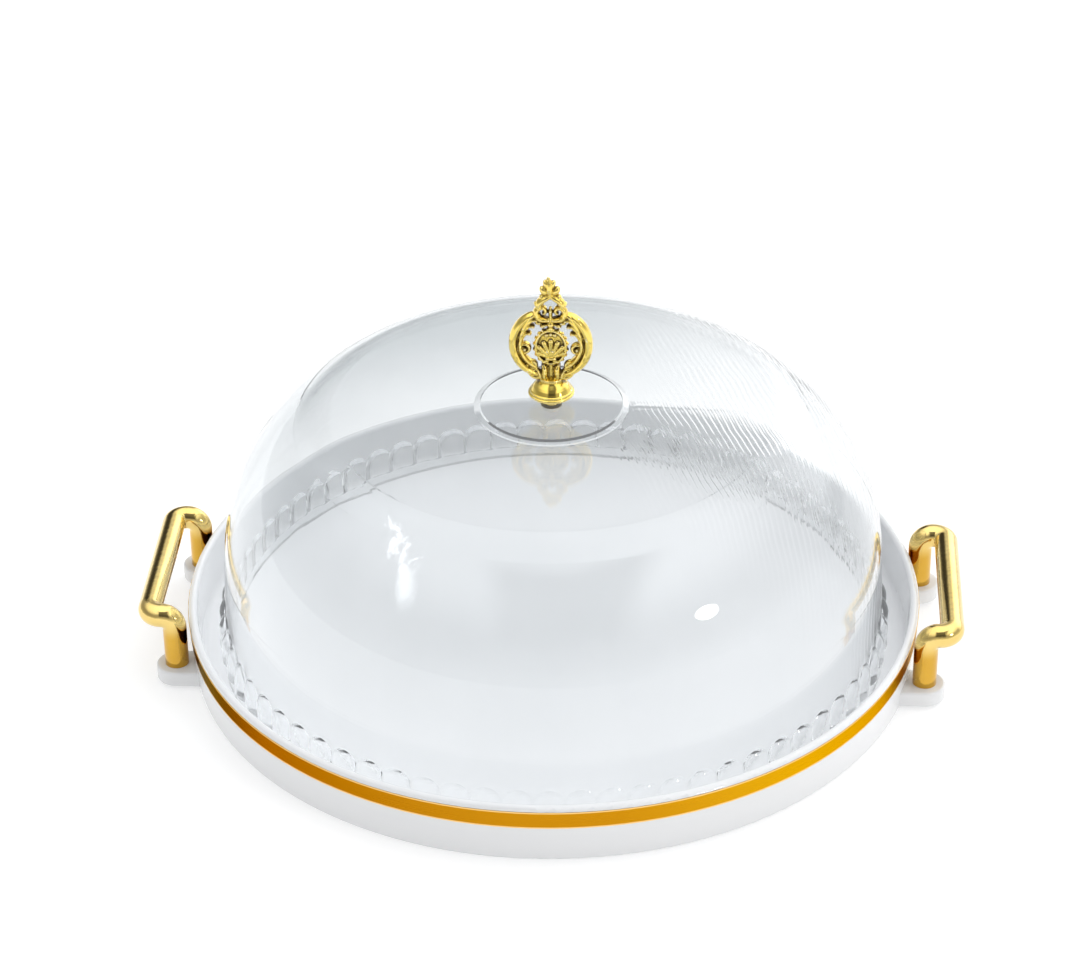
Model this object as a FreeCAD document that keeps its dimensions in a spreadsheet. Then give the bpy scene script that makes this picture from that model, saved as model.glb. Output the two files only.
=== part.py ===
import FreeCAD, Part
import Sketcher

import math
import os
import re

# Covered serving tray: a round white tray with a gold band and two gold bail handles, under a clear
# fluted dome with a cast openwork knob. Millimetres, +Z up, handles along X, and the origin in the
# middle of the surface that the tray stands on.

# Driving dimensions, each written once: lengths in millimetres, angles in degrees.

SIZES = {
    # tray moulding
    "lip_radius": 160.0,
    "lip_round": 1.9,
    "tray_height": 27.3,
    "skirt_taper": 1.6,
    "wall_thickness": 3.6,
    "floor_thickness": 2.5,
    "floor_lift": 2.0,
    "floor_corner_round": 3.5,
    "foot_round": 0.8,
    "inner_foot_radius": 70.0,
    "inner_foot_width": 2.4,
    # gold band round the tray
    "band_bottom": 16.8,
    "band_height": 8.4,
    "band_thickness": 0.9,
    "band_stand_out": 0.2,
    "band_clearance": 0.1,
    # lugs that carry the handles
    "lug_stand_out": 1.9,
    "lug_half_spread": 39.0,
    "lug_radius": 9.0,
    "lug_root_set_in": 5.7,
    "lug_lift": 0.8,
    "lug_height": 7.2,
    "lug_round": 1.0,
    "screw_recess_depth": 3.2,
    # bail handles
    "bail_tube_radius": 5.2,
    "bail_rise": 24.2,
    "bail_bend_inside": 0.2,
    "bail_arm_length": 0.2,
    "bail_bore_depth": 12.0,
    # machine screws in the lugs
    "lug_screw_radius": 1.95,
    "lug_screw_length": 14.0,
    "lug_screw_head_radius": 3.8,
    "lug_screw_head_height": 2.5,
    "lug_screw_head_round": 1.2,
    "lug_screw_tip_chamfer": 0.65,
    "lug_screw_cross_width": 1.1,
    "lug_screw_cross_span": 4.2,
    "lug_screw_cross_depth": 1.3,
    # machine screw in the knob
    "knob_screw_radius": 1.45,
    "knob_screw_length": 10.5,
    "knob_screw_head_radius": 3.0,
    "knob_screw_head_height": 2.1,
    "knob_screw_head_round": 1.0,
    "knob_screw_tip_chamfer": 0.5,
    "knob_screw_cross_width": 0.9,
    "knob_screw_cross_span": 3.4,
    "knob_screw_cross_depth": 1.1,
    # room round every screw, in the hole it passes and in the bore it is driven into
    "screw_hole_clearance": 0.3,
    "screw_bore_clearance": 0.1,
    "screw_head_clearance": 1.0,
    # dome
    "dome_foot_clearance": 8.4,
    "dome_foot_height": 4.2,
    "dome_foot_step": 1.6,
    "dome_thickness": 1.9,
    "dome_draft": 2.5,
    "dome_wall_height": 46.0,
    "shoulder_radius": 80.0,
    "shoulder_turn": 54.0,
    "corner_radius": 30.0,
    "corner_turn": 86.0,
    "crown_plate_radius": 33.0,
    "crown_plate_bevel": 2.6,
    "crown_plate_rise": 1.1,
    # flutes round the foot of the dome
    "flute_count": 70,
    "flute_stand_out": 2.4,
    "flute_round": 10.0,
    "flute_height": 14.6,
    # knob casting
    "knob_neck_radius": 3.1,
    "knob_neck_height": 3.2,
    "knob_foot_radius": 9.9,
    "knob_foot_under_round": 14.0,
    "knob_foot_rim_height": 4.8,
    "knob_foot_rim_rise": 0.9,
    "knob_foot_step": 0.5,
    "knob_foot_round": 9.0,
    "knob_waist_radius": 4.9,
    "knob_waist_height": 11.4,
    "knob_calyx_radius": 6.2,
    "knob_calyx_height": 14.4,
    "knob_stem_radius": 3.2,
    "knob_stem_height": 19.0,
    "knob_bore_depth": 9.0,
    # leaf scrolls of the knob
    "leaf_centre_height": 29.0,
    "leaf_radius": 17.4,
    "leaf_inner_radius": 12.4,
    "leaf_inner_drop": 1.2,
    "leaf_low_angle": 68.0,
    "leaf_high_angle": 64.0,
    "leaf_depth": 7.0,
    "leaf_round": 1.9,
    "curl_distance": 11.0,
    "curl_height": 25.6,
    "curl_radius": 1.9,
    "curl_thickness": 0.9,
    "low_curl_distance": 6.6,
    "low_curl_height": 17.9,
    "low_curl_radius": 1.4,
    "low_curl_thickness": 0.75,
    # oval frame with its scallop fan
    "frame_height": 27.4,
    "frame_half_width": 6.2,
    "frame_half_height": 8.0,
    "frame_width": 2.2,
    "frame_depth": 3.4,
    "frame_round": 0.8,
    "frame_plate_depth": 1.8,
    "fan_hub_height": 21.8,
    "fan_rib_count": 7,
    "fan_rib_spread": 24.0,
    "fan_rib_length": 9.0,
    "fan_rib_side_length": 5.4,
    "fan_rib_root_radius": 0.8,
    "fan_rib_end_radius": 1.4,
    "fan_tip_radius": 1.55,
    "fan_hub_radius": 1.5,
    # crest and bud on top of the knob
    "bead_height": 38.4,
    "bead_radius": 2.0,
    "crest_height": 44.8,
    "crest_radius": 6.5,
    "crest_round": 1.4,
    "crest_curl_distance": 2.3,
    "crest_curl_height": 42.6,
    "crest_curl_radius": 1.5,
    "crest_curl_thickness": 0.75,
    "bud_overlap": 0.9,
    "bud_base_radius": 2.2,
    "bud_radius": 3.1,
    "bud_belly_rise": 3.6,
    "bud_rise": 10.4,
    "petal_count": 6,
    "petal_rise": 3.2,
    "petal_distance": 2.5,
    "petal_lean": 20.0,
    "petal_half_length": 3.4,
    "petal_radius": 1.4,
    # washer inside the dome, under the head of the knob's screw
    "washer_radius": 4.5,
    "washer_thickness": 1.0,
}

# Sizes that follow from the driving ones, as formulas of the sheet.

DERIVED = {
    "skirt_foot_radius": "lip_radius - skirt_taper",
    "floor_top": "floor_lift + floor_thickness",
    "lip_centre_height": "tray_height - lip_round",
    "lip_centre_radius": "lip_radius - lip_round",
    "wall_slope": "(lip_radius - skirt_foot_radius) / lip_centre_height",
    "wall_inner_foot": "skirt_foot_radius - wall_thickness",
    "lip_inner_radius": "lip_radius - 2 * lip_round",
    "floor_inner_radius": "wall_inner_foot + wall_slope * floor_top",
    "band_top": "band_bottom + band_height",
    "groove_depth": "band_thickness + band_clearance - band_stand_out",
    "skirt_at_band_bottom": "skirt_foot_radius + wall_slope * band_bottom",
    "skirt_at_band_top": "skirt_foot_radius + wall_slope * band_top",
    "lug_distance": "lip_radius + lug_stand_out",
    "lug_far_side": "lug_half_spread + lug_radius",
    "lug_root_reach": "sqrt(wall_inner_foot * wall_inner_foot - lug_far_side * lug_far_side)",
    "lug_root_distance": "lug_root_reach - lug_root_set_in",
    "lug_top": "lug_lift + lug_height",
    "screw_seat": "lug_lift + screw_recess_depth",
    "screw_recess_radius": "lug_screw_head_radius + screw_head_clearance",
    "lug_hole_radius": "lug_screw_radius + screw_hole_clearance",
    "lug_bore_radius": "lug_screw_radius + screw_bore_clearance",
    "knob_hole_radius": "knob_screw_radius + screw_hole_clearance",
    "knob_bore_radius": "knob_screw_radius + screw_bore_clearance",
    "bail_height": "lug_top + bail_rise",
    "bail_bend_radius": "bail_tube_radius + bail_bend_inside",
    "bail_reach": "2 * bail_bend_radius + bail_arm_length",
    "bail_distance": "lug_distance + bail_reach",
    "dome_foot_radius": "wall_inner_foot - dome_foot_clearance",
    "dome_wall_radius": "dome_foot_radius - dome_foot_step",
    "dome_foot_top": "floor_top + dome_foot_height",
    "dome_wall_top": "floor_top + dome_wall_height",
    "dome_wall_top_radius": "dome_wall_radius - (dome_wall_top - dome_foot_top) * tan(dome_draft)",
    "shoulder_span": "shoulder_radius * (cos(dome_draft) - cos(shoulder_turn))",
    "shoulder_rise": "shoulder_radius * (sin(shoulder_turn) - sin(dome_draft))",
    "shoulder_end_radius": "dome_wall_top_radius - shoulder_span",
    "shoulder_end_height": "dome_wall_top + shoulder_rise",
    "corner_span": "corner_radius * (cos(shoulder_turn) - cos(corner_turn))",
    "corner_rise": "corner_radius * (sin(corner_turn) - sin(shoulder_turn))",
    "corner_end_radius": "shoulder_end_radius - corner_span",
    "corner_end_height": "shoulder_end_height + corner_rise",
    "crown_span": "corner_end_radius - crown_plate_radius",
    "crown_height": "corner_end_height + crown_span * tan((90 - corner_turn) / 2)",
    "crown_radius": "crown_span / cos(corner_turn)",
    "crown_top": "crown_height + crown_plate_rise",
    "crown_under": "crown_top - dome_thickness",
    "flute_top": "dome_foot_top + flute_height",
    "flute_crest_radius": "dome_wall_radius + flute_stand_out",
    "flute_axis_radius": "flute_crest_radius - flute_round",
    "flute_set_in": "dome_wall_radius - flute_axis_radius",
    "flute_spring": "flute_top - sqrt(flute_round * flute_round - flute_set_in * flute_set_in)",
    "washer_bottom": "crown_under - washer_thickness",
    "leaf_inner_height": "leaf_centre_height - leaf_inner_drop",
    "bud_base_height": "crest_height + crest_radius - bud_overlap",
    "bud_belly_height": "bud_base_height + bud_belly_rise",
    "petal_height": "bud_base_height + petal_rise",
    "knob_height": "bud_base_height + bud_rise",
}


document = FreeCAD.newDocument("covered_tray")
sheet = document.addObject("Spreadsheet::Sheet", "sizes")


def fill_sheet():
    """One row per size: its name, its number or formula, and the alias that features are bound to."""
    for row, (name, content) in enumerate([*SIZES.items(), *DERIVED.items()], start=1):
        sheet.set(f"A{row}", name)
        sheet.set(f"B{row}", str(content) if name in SIZES else "=" + content)
        sheet.setAlias(f"B{row}", name)
    document.recompute()


def linked(formula):
    """The formula with each size read from the sheet."""

    def known(word):
        return "sizes." + word[0] if word[0] in SIZES or word[0] in DERIVED else word[0]

    return re.sub(r"[a-z_]+", known, formula)


def worth(formula):
    """The number that a formula of sizes comes to."""
    return float(sheet.evalExpression(linked(formula)))


def bind(item, **formulas):
    """Ties properties of an object to formulas of sizes; __ stands for a dot."""
    for prop, formula in formulas.items():
        item.setExpression(prop.replace("__", "."), linked(formula))
    return item


def put(item, x="0", y="0", z="0"):
    """Ties the place of an object to formulas of sizes."""
    return bind(item, Placement__Base__x=x, Placement__Base__y=y, Placement__Base__z=z)


# Bodies and sketches

def new_body(name):
    body = document.addObject("PartDesign::Body", name)
    document.recompute()
    return body


def new_sketch(body, name, plane, lift=None):
    """A sketch on one of the body's own planes, lifted off it by a formula of sizes."""
    sketch = body.newObject("Sketcher::SketchObject", name)
    support = next(item for item in body.Origin.OriginFeatures if item.Role == plane)
    sketch.AttachmentSupport = (support, "")
    sketch.MapMode = "FlatFace"
    if lift:
        bind(sketch, AttachmentOffset__Base__z=lift)
    document.recompute()
    return sketch


def fix_point(sketch, curve, end, x, y):
    """Ties one end of a curve to formulas of sizes."""
    for direction, formula in (("DistanceX", x), ("DistanceY", y)):
        index = sketch.addConstraint(Sketcher.Constraint(direction, -1, 1, curve, end, worth(formula)))
        sketch.setExpression(f"Constraints[{index}]", linked(formula))


def arc_between(start, end, radius, bulge):
    """The short arc from start to end; bulge 1 turns left on the way and -1 turns right."""
    chord = end - start
    half = chord.Length / 2
    away = FreeCAD.Vector(-chord.y, chord.x, 0).normalize() * bulge
    centre = (start + end) / 2 + away * math.sqrt(max(radius * radius - half * half, 0.0))
    middle = centre - away * radius
    return Part.Arc(start, middle, end)


def outline(sketch, corners):
    """A closed outline through corners given as formulas. A third formula and a side, where a corner
    has them, make the stretch that leaves it an arc of that radius."""
    points = [FreeCAD.Vector(worth(corner[0]), worth(corner[1]), 0) for corner in corners]
    for number, corner in enumerate(corners):
        start, end = points[number], points[(number + 1) % len(points)]
        if len(corner) == 2:
            curve = sketch.addGeometry(Part.LineSegment(start, end))
            first, last = 1, 2
        else:
            radius, bulge = corner[2:]
            curve = sketch.addGeometry(arc_between(start, end, worth(radius), bulge))
            first, last = (1, 2) if bulge > 0 else (2, 1)
            index = sketch.addConstraint(Sketcher.Constraint("Radius", curve, worth(radius)))
            sketch.setExpression(f"Constraints[{index}]", linked(radius))
        following = corners[(number + 1) % len(corners)]
        fix_point(sketch, curve, first, corner[0], corner[1])
        fix_point(sketch, curve, last, following[0], following[1])


def circle(sketch, x, y, radius):
    """A circle whose centre and radius are formulas of sizes."""
    centre = FreeCAD.Vector(worth(x), worth(y), 0)
    curve = sketch.addGeometry(Part.Circle(centre, FreeCAD.Vector(0, 0, 1), worth(radius)))
    fix_point(sketch, curve, 3, x, y)
    index = sketch.addConstraint(Sketcher.Constraint("Radius", curve, worth(radius)))
    sketch.setExpression(f"Constraints[{index}]", linked(radius))


# Solid features, each on a sketch of its own body

def turned(body, name, kind, corner_lists):
    """Outlines in the front plane turned about the vertical axis, added or cut away."""
    sketch = new_sketch(body, name + "_outline", "XZ_Plane")
    for corners in corner_lists:
        outline(sketch, corners)
    feature = body.newObject("PartDesign::" + kind, name)
    feature.Profile = sketch
    feature.ReferenceAxis = (sketch, ["V_Axis"])
    feature.Angle = 360
    document.recompute()
    return feature


def padded(body, name, sketch, length, both_ways=False):
    """A sketch made solid by a length that is a formula of sizes."""
    feature = body.newObject("PartDesign::Pad", name)
    feature.Profile = sketch
    feature.Midplane = both_ways
    bind(feature, Length=length)
    document.recompute()
    return feature


def pocket(body, name, sketch, depth):
    """A pocket upwards from a sketch in a level plane; it must take material away."""
    before = body.Shape.Volume
    feature = body.newObject("PartDesign::Pocket", name)
    feature.Profile = sketch
    feature.Reversed = True
    bind(feature, Length=depth)
    document.recompute()
    if body.Shape.Volume > before - 1e-3:
        raise ValueError(name + " cuts nothing")
    return feature


def rounded(body, name, radius, wanted):
    """Rounds the edges of the body's last feature that the test accepts."""
    base = body.Tip
    picked = [f"Edge{number}" for number, edge in enumerate(base.Shape.Edges, start=1) if wanted(edge)]
    feature = body.newObject("PartDesign::Fillet", name)
    feature.Base = (base, picked)
    bind(feature, Radius=radius)
    document.recompute()
    return feature


def is_ring(edge, radius, height):
    """True for a level circular edge of this radius about the vertical axis at this height."""
    box = edge.BoundBox
    level = abs(box.ZMin - worth(height)) < 0.01 and abs(box.ZMax - worth(height)) < 0.01
    return level and all(abs(math.hypot(v.X, v.Y) - worth(radius)) < 0.01 for v in edge.Vertexes)


# Tray

LUG_SIDES = [(along, across) for along in (1, -1) for across in (1, -1)]


def make_tray():
    """One moulding: skirt, full round lip, floor, foot rings and the four lugs."""
    body = new_body("tray")
    turned(body, "blank", "Revolution", [[
        ("0", "0"),
        ("skirt_foot_radius", "0"),
        ("lip_radius", "lip_centre_height", "lip_round", 1),
        ("lip_centre_radius", "tray_height", "lip_round", 1),
        ("lip_inner_radius", "lip_centre_height"),
        ("0", "lip_centre_height"),
    ]])
    lugs = new_sketch(body, "lug_outline", "XY_Plane", "lug_lift")
    for along, across in LUG_SIDES:
        lug_outline(lugs, along, across)
    padded(body, "lugs", lugs, "lug_height")
    rounded(body, "lug_edges", "lug_round", is_lug_edge)
    turned(body, "well", "Groove", [[
        ("0", "floor_top"),
        ("floor_inner_radius", "floor_top"),
        ("lip_inner_radius", "lip_centre_height"),
        ("0", "lip_centre_height"),
    ]])
    turned(body, "underside", "Groove", [
        [
            ("0", "0"),
            ("inner_foot_radius", "0"),
            ("inner_foot_radius", "floor_lift"),
            ("0", "floor_lift"),
        ],
        [
            ("inner_foot_radius + inner_foot_width", "0"),
            ("wall_inner_foot", "0"),
            ("wall_inner_foot", "floor_lift"),
            ("inner_foot_radius + inner_foot_width", "floor_lift"),
        ],
    ])
    turned(body, "band_channel", "Groove", [[
        ("skirt_at_band_bottom - groove_depth", "band_bottom"),
        ("lip_radius + groove_depth", "band_bottom"),
        ("lip_radius + groove_depth", "band_top"),
        ("skirt_at_band_top - groove_depth", "band_top"),
    ]])
    recesses = new_sketch(body, "recess_outline", "XY_Plane")
    holes = new_sketch(body, "hole_outline", "XY_Plane")
    for along, across in LUG_SIDES:
        place = (f"{along} * lug_distance", f"{across} * lug_half_spread")
        circle(recesses, *place, "screw_recess_radius")
        circle(holes, *place, "lug_hole_radius")
    pocket(body, "screw_recesses", recesses, "screw_seat")
    pocket(body, "screw_holes", holes, "lug_top + lug_lift")
    rounded(body, "floor_corner", "floor_corner_round",
            lambda edge: is_ring(edge, "floor_inner_radius", "floor_top"))
    rounded(body, "foot_edge", "foot_round", lambda edge: is_ring(edge, "skirt_foot_radius", "0"))
    return body


def lug_outline(sketch, along, across):
    """A tab with a round end, rooted in the tray's wall, at one side of one handle."""
    turn = along * across
    near = f"{across} * (lug_half_spread - lug_radius)"
    far = f"{across} * lug_far_side"
    root = f"{along} * lug_root_distance"
    centre = f"{along} * lug_distance"
    outline(sketch, [
        (root, near),
        (centre, near, "lug_radius", turn),
        (f"{along} * (lug_distance + lug_radius)", f"{across} * lug_half_spread", "lug_radius", turn),
        (centre, far),
        (root, far),
    ])


def is_lug_edge(edge):
    """True for the upper and lower edges of the lugs outside the skirt."""
    box = edge.BoundBox
    level = box.ZLength < 0.01 and min(abs(box.ZMin - worth(end)) for end in ("lug_lift", "lug_top")) < 0.01
    spread = max(abs(box.YMin), abs(box.YMax)) <= worth("lug_far_side") + 0.01
    outer = max(abs(box.XMin), abs(box.XMax)) > worth("lug_distance") - 0.01
    return level and spread and outer


def make_gold_band():
    """A thin hoop that lies in the channel under the lip."""
    body = new_body("gold_band")
    bottom_inner = "skirt_at_band_bottom - groove_depth + band_clearance"
    top_inner = "skirt_at_band_top - groove_depth + band_clearance"
    turned(body, "hoop", "Revolution", [[
        (bottom_inner, "band_bottom"),
        (bottom_inner + " + band_thickness", "band_bottom"),
        (top_inner + " + band_thickness", "band_top - band_clearance"),
        (top_inner, "band_top - band_clearance"),
    ]])
    return body


# Screws and washer

def make_screw(name, kind, x, y, seat):
    """A pan head machine screw of one kind, head down, whose head seats at the height given."""
    radius, length, chamfer = f"{kind}_radius", f"{kind}_length", f"{kind}_tip_chamfer"
    head_radius, head_height = f"{kind}_head_radius", f"{kind}_head_height"
    head_round = f"{kind}_head_round"
    body = new_body(name)
    turned(body, "blank", "Revolution", [[
        ("0", f"-{head_height}"),
        (f"{head_radius} - {head_round}", f"-{head_height}", head_round, 1),
        (head_radius, f"{head_round} - {head_height}"),
        (head_radius, "0"),
        (radius, "0"),
        (radius, f"{length} - {chamfer}"),
        (f"{radius} - {chamfer}", length),
        ("0", length),
    ]])
    cross = new_sketch(body, "cross_outline", "XY_Plane", f"-{head_height}")
    half_width, half_span = f"{kind}_cross_width / 2", f"{kind}_cross_span / 2"
    corners = [(half_span, half_width), (half_width, half_width), (half_width, half_span)]
    outline(cross, [
        turned_corner
        for quarter in range(4)
        for turned_corner in (quarter_turn(corner, quarter) for corner in corners)
    ])
    pocket(body, "cross", cross, f"{kind}_cross_depth")
    return put(body, x, y, seat)


def quarter_turn(corner, times):
    """A corner given as formulas, turned to the left by a number of quarter turns."""
    x, y = corner
    for _ in range(times):
        x, y = f"-({y})", x
    return x, y


def make_washer():
    body = new_body("knob_washer")
    turned(body, "ring", "Revolution", [[
        ("knob_hole_radius", "0"),
        ("washer_radius", "0"),
        ("washer_radius", "washer_thickness"),
        ("knob_hole_radius", "washer_thickness"),
    ]])
    return put(body, z="washer_bottom")


# Bail handles: leg, elbow, short arm, elbow, bar and the same back, fused into one bent bar

def cylinder(name, radius, height):
    return bind(document.addObject("Part::Cylinder", name), Radius=radius, Height=height)


def elbow(name):
    """A quarter turn of the tube, in the level plane from +X to +Y about its own centre."""
    item = document.addObject("Part::Torus", name)
    item.Angle3 = 90
    return bind(item, Radius1="bail_bend_radius", Radius2="bail_tube_radius")


def turn_about(item, *turns):
    """Turns an object about its own axes, one turn after another."""
    rotation = FreeCAD.Rotation()
    for axis, angle in turns:
        rotation = FreeCAD.Rotation(FreeCAD.Vector(*axis), angle) * rotation
    item.Placement.Rotation = rotation
    return item


def fused(name, items):
    item = document.addObject("Part::MultiFuse", name)
    item.Shapes = items
    return item


def cut(name, base, tool):
    item = document.addObject("Part::Cut", name)
    item.Base = base
    item.Tool = tool
    return item


def make_handle(name, along):
    """The handle on the +X side (along 1) or the -X side (along -1)."""
    pieces = []
    bores = []
    bar = cylinder(name + "_bar", "bail_tube_radius", "2 * (lug_half_spread - bail_bend_radius)")
    turn_about(bar, ((1, 0, 0), -90))
    put(bar, f"{along} * bail_distance", "bail_bend_radius - lug_half_spread", "bail_height")
    pieces.append(bar)
    for across in (1, -1):
        end = f"{name}_{'rear' if across > 0 else 'front'}"
        leg_x, leg_y = f"{along} * lug_distance", f"{across} * lug_half_spread"
        leg = cylinder(end + "_leg", "bail_tube_radius", "bail_rise - bail_bend_radius")
        put(leg, leg_x, leg_y, "lug_top")
        upper = elbow(end + "_upper_elbow")
        turn_about(upper, ((1, 0, 0), 90), ((0, 1, 0), -90 if along > 0 else 0))
        put(upper, f"{along} * (lug_distance + bail_bend_radius)", leg_y, "bail_height - bail_bend_radius")
        arm = cylinder(end + "_arm", "bail_tube_radius", "bail_arm_length")
        turn_about(arm, ((0, 1, 0), 90))
        arm_start = "lug_distance + bail_bend_radius" if along > 0 else "bail_bend_radius - bail_distance"
        put(arm, arm_start, leg_y, "bail_height")
        corner = elbow(end + "_corner_elbow")
        quarter = {(1, 1): 0, (-1, 1): 90, (-1, -1): 180, (1, -1): 270}[along, across]
        turn_about(corner, ((0, 0, 1), quarter))
        put(corner, f"{along} * (bail_distance - bail_bend_radius)",
            f"{across} * (lug_half_spread - bail_bend_radius)", "bail_height")
        pieces += [leg, upper, arm, corner]
        bore = cylinder(end + "_bore", "lug_bore_radius", "bail_bore_depth")
        bores.append(put(bore, leg_x, leg_y, "lug_top"))
    solid = fused(name + "_bar_and_legs", pieces)
    return cut(name, solid, fused(name + "_bores", bores))


# Dome

def dome_wall(inset):
    """Corners of the dome's meridian from the top of its wall to its crown, at an inset from outside."""
    return [
        (f"dome_wall_top_radius - {inset} * cos(dome_draft)", f"dome_wall_top - {inset} * sin(dome_draft)",
         f"shoulder_radius - {inset}", 1),
        (f"shoulder_end_radius - {inset} * cos(shoulder_turn)",
         f"shoulder_end_height - {inset} * sin(shoulder_turn)", f"corner_radius - {inset}", 1),
        (f"corner_end_radius - {inset} * cos(corner_turn)",
         f"corner_end_height - {inset} * sin(corner_turn)", f"crown_radius - {inset}", 1),
        ("crown_plate_radius", f"crown_height - {inset}"),
        ("crown_plate_radius - crown_plate_bevel", f"crown_top - {inset}"),
        ("0", f"crown_top - {inset}"),
    ]


def make_dome():
    """A thin clear cover: plain foot, a band of round-topped flutes, wall, shoulder and flat crown."""
    body = new_body("dome_cover")
    turned(body, "blank", "Revolution", [[
        ("0", "floor_top"),
        ("dome_foot_radius", "floor_top"),
        ("dome_foot_radius", "dome_foot_top"),
        ("dome_wall_radius", "dome_foot_top"),
        *dome_wall("0"),
    ]])
    sketch = new_sketch(body, "flute_outline", "XZ_Plane")
    outline(sketch, [
        ("flute_axis_radius", "dome_foot_top"),
        ("flute_crest_radius", "dome_foot_top"),
        ("flute_crest_radius", "flute_spring", "flute_round", 1),
        ("flute_axis_radius", "flute_spring + flute_round"),
    ])
    axis = sketch.addGeometry(Part.LineSegment(
        FreeCAD.Vector(worth("flute_axis_radius"), worth("floor_top"), 0),
        FreeCAD.Vector(worth("flute_axis_radius"), worth("dome_foot_top"), 0)), True)
    fix_point(sketch, axis, 1, "flute_axis_radius", "floor_top")
    fix_point(sketch, axis, 2, "flute_axis_radius", "dome_foot_top")
    flute = body.newObject("PartDesign::Revolution", "flute")
    flute.Profile = sketch
    flute.ReferenceAxis = (sketch, ["Axis0"])
    flute.Angle = 360
    document.recompute()
    ring = body.newObject("PartDesign::PolarPattern", "flutes")
    ring.Originals = [flute]
    ring.Axis = (next(item for item in body.Origin.OriginFeatures if item.Role == "Z_Axis"), [""])
    ring.Angle = 360
    bind(ring, Occurrences="flute_count")
    body.Tip = ring
    document.recompute()
    turned(body, "hollow", "Groove", [[
        ("0", "floor_top"),
        ("dome_wall_radius - dome_thickness", "floor_top"),
        *dome_wall("dome_thickness"),
    ]])
    hole = new_sketch(body, "knob_hole_outline", "XY_Plane", "floor_top")
    circle(hole, "0", "0", "knob_hole_radius")
    pocket(body, "knob_hole", hole, "crown_top")
    return body


# Knob: one openwork casting, modelled on its own base plane

def sphere(name, radius):
    return bind(document.addObject("Part::Sphere", name), Radius=radius)


def upright_ring(name, radius, thickness):
    """A round ring that stands in the front plane."""
    item = bind(document.addObject("Part::Torus", name), Radius1=radius, Radius2=thickness)
    return turn_about(item, ((1, 0, 0), 90))


def make_knob_foot():
    """The turned part of the casting: neck, round foot, waist, calyx and the stem above it."""
    body = new_body("knob_foot")
    turned(body, "foot", "Revolution", [[
        ("0", "0"),
        ("knob_neck_radius", "0"),
        ("knob_neck_radius", "knob_neck_height", "knob_foot_under_round", 1),
        ("knob_foot_radius", "knob_foot_rim_height"),
        ("knob_foot_radius", "knob_foot_rim_height + knob_foot_rim_rise"),
        ("knob_foot_radius - knob_foot_step", "knob_foot_rim_height + knob_foot_rim_rise",
         "knob_foot_round", 1),
        ("knob_waist_radius", "knob_waist_height"),
        ("knob_calyx_radius", "knob_calyx_height"),
        ("knob_stem_radius", "knob_stem_height"),
        ("0", "knob_stem_height"),
    ]])
    return body


def polar(angle, radius, height, side):
    """Formulas of the point at an angle above the level on a circle about a centre on the axis."""
    return f"{side} * {radius} * cos({angle})", f"{height} + {radius} * sin({angle})"


def make_knob_leaf(side):
    """One big leaf scroll: a crescent between two circles, rounded all over."""
    body = new_body("knob_leaf_right" if side > 0 else "knob_leaf_left")
    sketch = new_sketch(body, "leaf_outline", "XZ_Plane")
    outline(sketch, [
        (*polar("-leaf_low_angle", "leaf_radius", "leaf_centre_height", side), "leaf_radius", side),
        (*polar("0", "leaf_radius", "leaf_centre_height", side), "leaf_radius", side),
        polar("leaf_high_angle", "leaf_radius", "leaf_centre_height", side),
        (*polar("leaf_high_angle", "leaf_inner_radius", "leaf_inner_height", side),
         "leaf_inner_radius", -side),
        (*polar("0", "leaf_inner_radius", "leaf_inner_height", side), "leaf_inner_radius", -side),
        polar("-leaf_low_angle", "leaf_inner_radius", "leaf_inner_height", side),
    ])
    padded(body, "leaf", sketch, "leaf_depth", both_ways=True)
    rounded(body, "leaf_edges", "leaf_round",
            lambda edge: edge.BoundBox.YLength < 0.01)
    return body


def make_knob_curls(side):
    """The small curls that close one leaf scroll, and the one inside the crest."""
    name = "right" if side > 0 else "left"
    curls = []
    for kind in ("curl", "low_curl", "crest_curl"):
        curl = upright_ring(f"{name}_{kind}", f"{kind}_radius", f"{kind}_thickness")
        curls.append(put(curl, f"{side} * {kind}_distance", "0", f"{kind}_height"))
    return curls


def oval(name, growth):
    """An upright oval in the front plane, larger all round than the frame's middle line by a formula."""
    item = bind(document.addObject("Part::Ellipse", name),
                MajorRadius=f"frame_half_height + {growth}", MinorRadius=f"frame_half_width + {growth}")
    return put(turn_about(item, ((0, 0, 1), 90), ((1, 0, 0), 90)), z="frame_height")


def oval_plate(name, edges, depth):
    """A plate between ovals, half its depth in front of the middle plane and half behind."""
    face = document.addObject("Part::Face", name + "_face")
    face.Sources = edges
    face.FaceMakerClass = "Part::FaceMakerBullseye"
    plate = document.addObject("Part::Extrusion", name)
    plate.Base = face
    plate.DirMode = "Custom"
    plate.Dir = FreeCAD.Vector(0, 1, 0)
    plate.Solid = True
    plate.Symmetric = True
    return bind(plate, LengthFwd=depth)


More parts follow.
